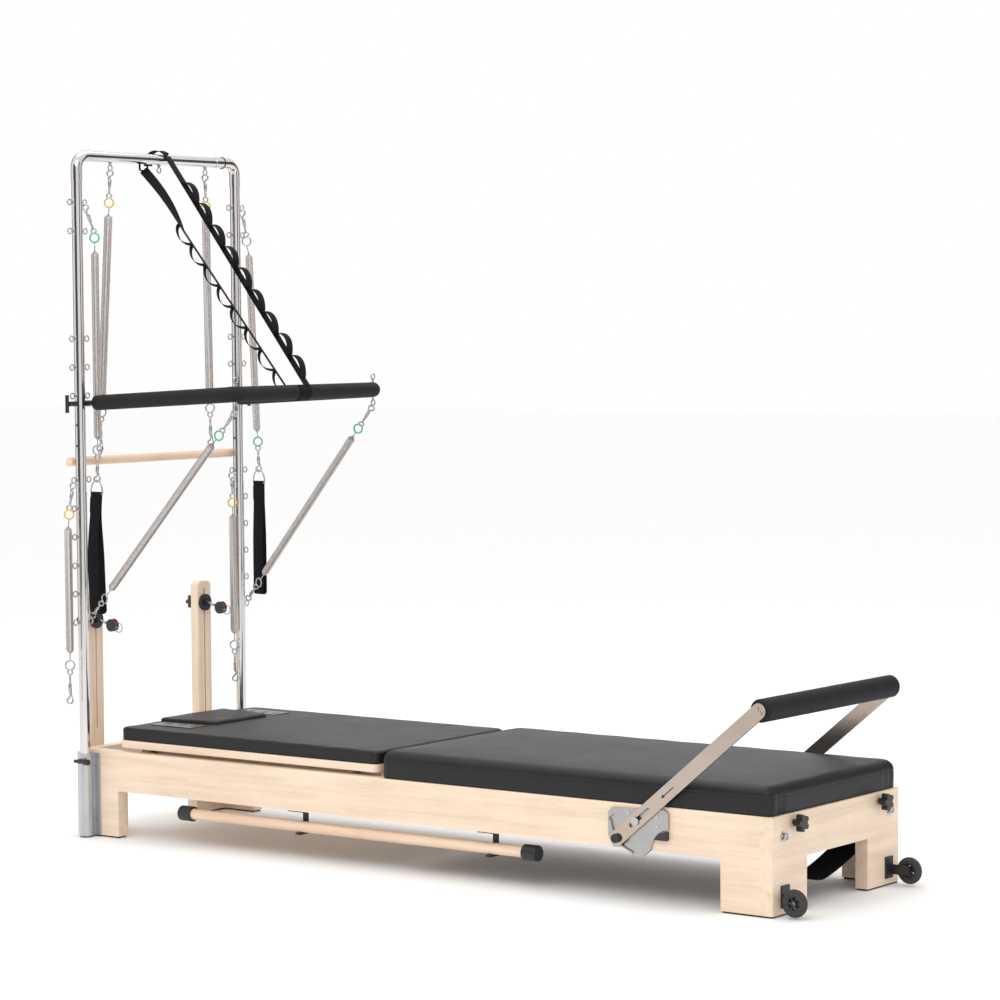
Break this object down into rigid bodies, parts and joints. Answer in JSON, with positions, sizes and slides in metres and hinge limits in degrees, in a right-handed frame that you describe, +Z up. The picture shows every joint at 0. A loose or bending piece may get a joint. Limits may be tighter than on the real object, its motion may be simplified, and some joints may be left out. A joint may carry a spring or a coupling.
{
  "type": "pilates reformer",
  "caption": "Wooden pilates reformer with a half tower, push-through bar, spring set, sliding carriage, tilting footbar and a full-length mat conversion.",
  "frame": {"origin": "middle of the whole machine's footprint, on the floor", "axes": "+X towards the footbar end, +Z up, -Y the near long side"},
  "size_m": [2.749, 0.9434, 2.1725],
  "materials": {
    "maple": "satin lacquer",
    "foot_rubber": "matt",
    "post_aluminium": "satin anodised",
    "bright_steel": "polished",
    "black_plastic": "fine grain",
    "chrome_tube": "mirror polished",
    "red_sheave": "gloss",
    "roller_plastic": "smooth",
    "black_vinyl": "embossed vinyl",
    "grey_plate": "brushed",
    "polished_arm": "polished, lightly brushed",
    "black_foam": "fine foam skin",
    "black_webbing": "woven",
    "spring_steel": "nickel plated",
    "wheel_rubber": "matt",
    "black_steel": "powder coat"
  },
  "bodies": {
    "frame": {"side_rail_near": "maple", "side_rail_far": "maple", "foot_board": "maple", "head_board": "maple", "foot_pads": "foot_rubber", "corner_post_near": "post_aluminium", "corner_post_far": "post_aluminium", "frame_fittings": "bright_steel", "post_clamps": "black_plastic", "carriage_tracks": "post_aluminium", "tower_upright_near": "chrome_tube", "tower_upright_far": "chrome_tube", "tower_top_bar": "chrome_tube", "tower_elbows": "chrome_tube", "tower_eyebolts": "bright_steel", "riser_posts": "maple", "clamp_knobs": "black_plastic", "footbar_plate_near": "grey_plate", "footbar_plate_far": "grey_plate", "footbar_bumpers": "foot_rubber", "steel_brackets": "black_steel", "under_sling": "black_webbing", "ladder_strap": "black_webbing"},
    "carriage": {"carriage_board": "maple", "carriage_pad": "black_vinyl", "shoulder_sockets": "grey_plate"},
    "rollers_head": {"rollers_head": "roller_plastic"},
    "rollers_foot": {"rollers_foot": "roller_plastic"},
    "headrest": {"headrest": "black_vinyl"},
    "mat": {"mat_pad": "black_vinyl"},
    "footbar_pivot": {"footbar_bolts": "bright_steel"},
    "footbar": {"footbar_arms": "polished_arm", "footbar_grip": "black_foam"},
    "push_through_bar": {"ptb_grip": "black_foam", "ptb_mounts": "bright_steel", "ptb_knobs": "black_plastic"},
    "roll_down": {"roll_down_bar": "maple", "roll_down_eyes": "bright_steel", "top_spring_near": "spring_steel", "top_spring_far": "spring_steel"},
    "pole": {"storage_pole": "maple", "pole_caps": "black_plastic"},
    "push_spring_low_near": {"ptb_spring_low_near": "spring_steel", "ptb_spring_coil_near": "spring_steel"},
    "push_spring_high_near": {"ptb_spring_high_near": "spring_steel"},
    "arm_spring_near": {"arm_spring_near": "spring_steel"},
    "arm_handle_near": {"arm_handle_near": "black_webbing"},
    "leg_spring_near": {"leg_spring_near": "spring_steel"},
    "pulley_near": {"pulley_block_near": "bright_steel"},
    "sheave_near": {"pulley_sheave_near": "red_sheave"},
    "wheel_near": {"transport_wheel_near": "wheel_rubber"},
    "push_spring_low_far": {"ptb_spring_low_far": "spring_steel", "ptb_spring_coil_far": "spring_steel"},
    "push_spring_high_far": {"ptb_spring_high_far": "spring_steel"},
    "arm_spring_far": {"arm_spring_far": "spring_steel"},
    "arm_handle_far": {"arm_handle_far": "black_webbing"},
    "leg_spring_far": {"leg_spring_far": "spring_steel"},
    "pulley_far": {"pulley_block_far": "bright_steel"},
    "sheave_far": {"pulley_sheave_far": "red_sheave"},
    "wheel_far": {"transport_wheel_far": "wheel_rubber"}
  },
  "joints": [
    {"name": "carriage_slide", "type": "slide", "parent": "frame", "child": "carriage", "axis": [1, 0, 0], "range_m": [0, 1]},
    {"name": "rollers_head_spin", "type": "hinge", "parent": "carriage", "child": "rollers_head", "pos_m": [-1.0445, -0.019, 0.2652], "axis": [0, 1, 0], "continuous": true},
    {"name": "rollers_foot_spin", "type": "hinge", "parent": "carriage", "child": "rollers_foot", "pos_m": [-0.2135, -0.019, 0.2652], "axis": [0, 1, 0], "continuous": true},
    {"name": "headrest_tilt", "type": "hinge", "parent": "carriage", "child": "headrest", "pos_m": [-0.9235, -0.019, 0.354], "axis": [0, 1, 0], "range_deg": [0, 20]},
    {"name": "mat_slide", "type": "slide", "parent": "frame", "child": "mat", "axis": [1, 0, 0], "range_m": [0, 1]},
    {"name": "footbar_tilt", "type": "hinge", "parent": "frame", "child": "footbar_pivot", "pos_m": [0.8465, -0.019, 0.231], "axis": [0, -1, 0], "range_deg": [-39.6, 41.8]},
    {"name": "footbar_release", "type": "slide", "parent": "footbar_pivot", "child": "footbar", "axis": [0.7705, 0, 0.6374], "range_m": [-0.005, 0.018]},
    {"name": "push_through_tilt", "type": "hinge", "parent": "frame", "child": "push_through_bar", "pos_m": [-1.25425, -0.019, 1.3755], "axis": [0, -1, 0], "range_deg": [0, 24], "deforming": ["ladder_strap"]},
    {"name": "push_spring_swing_near", "type": "hinge", "parent": "frame", "child": "push_spring_low_near", "pos_m": [-1.25425, -0.3592, 0.69375], "axis": [0, -1, 0], "range_deg": [0, 12]},
    {"name": "push_spring_stretch_near", "type": "slide", "parent": "push_spring_low_near", "child": "push_spring_high_near", "axis": [0.6808, 0, 0.7324], "range_m": [0, 0.19], "deforming": ["ptb_spring_coil_near"]},
    {"name": "arm_spring_swing_near", "type": "hinge", "parent": "frame", "child": "arm_spring_near", "pos_m": [-1.25425, -0.3592, 1.99925], "axis": [0, -1, 0], "range_deg": [0, 15]},
    {"name": "arm_handle_swing_near", "type": "hinge", "parent": "arm_spring_near", "child": "arm_handle_near", "pos_m": [-1.25425, -0.322, 1.126], "axis": [0, -1, 0], "range_deg": [0, 15]},
    {"name": "leg_spring_swing_near", "type": "hinge", "parent": "frame", "child": "leg_spring_near", "pos_m": [-1.25425, -0.4272, 1.12625], "axis": [0, -1, 0], "range_deg": [0, 20]},
    {"name": "pulley_swivel_near", "type": "hinge", "parent": "frame", "child": "pulley_near", "pos_m": [-1.2965, -0.278, 0.68], "axis": [0.9703, 0, -0.2419], "range_deg": [-60, 60]},
    {"name": "sheave_spin_near", "type": "hinge", "parent": "pulley_near", "child": "sheave_near", "pos_m": [-1.23828, -0.278, 0.66548], "axis": [0, 1, 0], "continuous": true},
    {"name": "wheel_spin_near", "type": "hinge", "parent": "frame", "child": "wheel_near", "pos_m": [1.3355, -0.333, 0.043], "axis": [0, 1, 0], "continuous": true},
    {"name": "push_spring_swing_far", "type": "hinge", "parent": "frame", "child": "push_spring_low_far", "pos_m": [-1.25425, 0.3892, 0.69375], "axis": [0, -1, 0], "range_deg": [0, 12]},
    {"name": "push_spring_stretch_far", "type": "slide", "parent": "push_spring_low_far", "child": "push_spring_high_far", "axis": [0.6808, 0, 0.7324], "range_m": [0, 0.19], "deforming": ["ptb_spring_coil_far"]},
    {"name": "arm_spring_swing_far", "type": "hinge", "parent": "frame", "child": "arm_spring_far", "pos_m": [-1.25425, 0.3892, 1.99925], "axis": [0, -1, 0], "range_deg": [0, 15]},
    {"name": "arm_handle_swing_far", "type": "hinge", "parent": "arm_spring_far", "child": "arm_handle_far", "pos_m": [-1.25425, 0.459, 1.126], "axis": [0, -1, 0], "range_deg": [0, 15]},
    {"name": "leg_spring_swing_far", "type": "hinge", "parent": "frame", "child": "leg_spring_far", "pos_m": [-1.25425, 0.3212, 1.12625], "axis": [0, -1, 0], "range_deg": [0, 20]},
    {"name": "pulley_swivel_far", "type": "hinge", "parent": "frame", "child": "pulley_far", "pos_m": [-1.2965, 0.24, 0.697], "axis": [0.9703, 0, -0.2419], "range_deg": [-60, 60]},
    {"name": "sheave_spin_far", "type": "hinge", "parent": "pulley_far", "child": "sheave_far", "pos_m": [-1.23828, 0.24, 0.68248], "axis": [0, 1, 0], "continuous": true},
    {"name": "wheel_spin_far", "type": "hinge", "parent": "frame", "child": "wheel_far", "pos_m": [1.3355, 0.295, 0.043], "axis": [0, 1, 0], "continuous": true},
    {"name": "roll_down_swing", "type": "hinge", "parent": "frame", "child": "roll_down", "pos_m": [-1.25425, -0.019, 2.11175], "axis": [0, 1, 0], "range_deg": [0, 20]},
    {"name": "pole_pull_out", "type": "slide", "parent": "frame", "child": "pole", "axis": [0, -1, 0], "range_m": [0, 0.15]}
  ],
  "couplings": [
    {"joint": "rollers_head_spin", "follows": "carriage_slide", "rad_per_m": 66.667},
    {"joint": "rollers_foot_spin", "follows": "carriage_slide", "rad_per_m": 66.667},
    {"joint": "mat_slide", "follows": "carriage_slide", "ratio": 1},
    {"joint": "push_spring_swing_near", "follows": "push_through_tilt", "ratio": 0.45427},
    {"joint": "push_spring_stretch_near", "follows": "push_through_tilt", "m_per_rad": 0.4222},
    {"joint": "push_spring_swing_far", "follows": "push_through_tilt", "ratio": 0.45427},
    {"joint": "push_spring_stretch_far", "follows": "push_through_tilt", "m_per_rad": 0.4222}
  ]
}
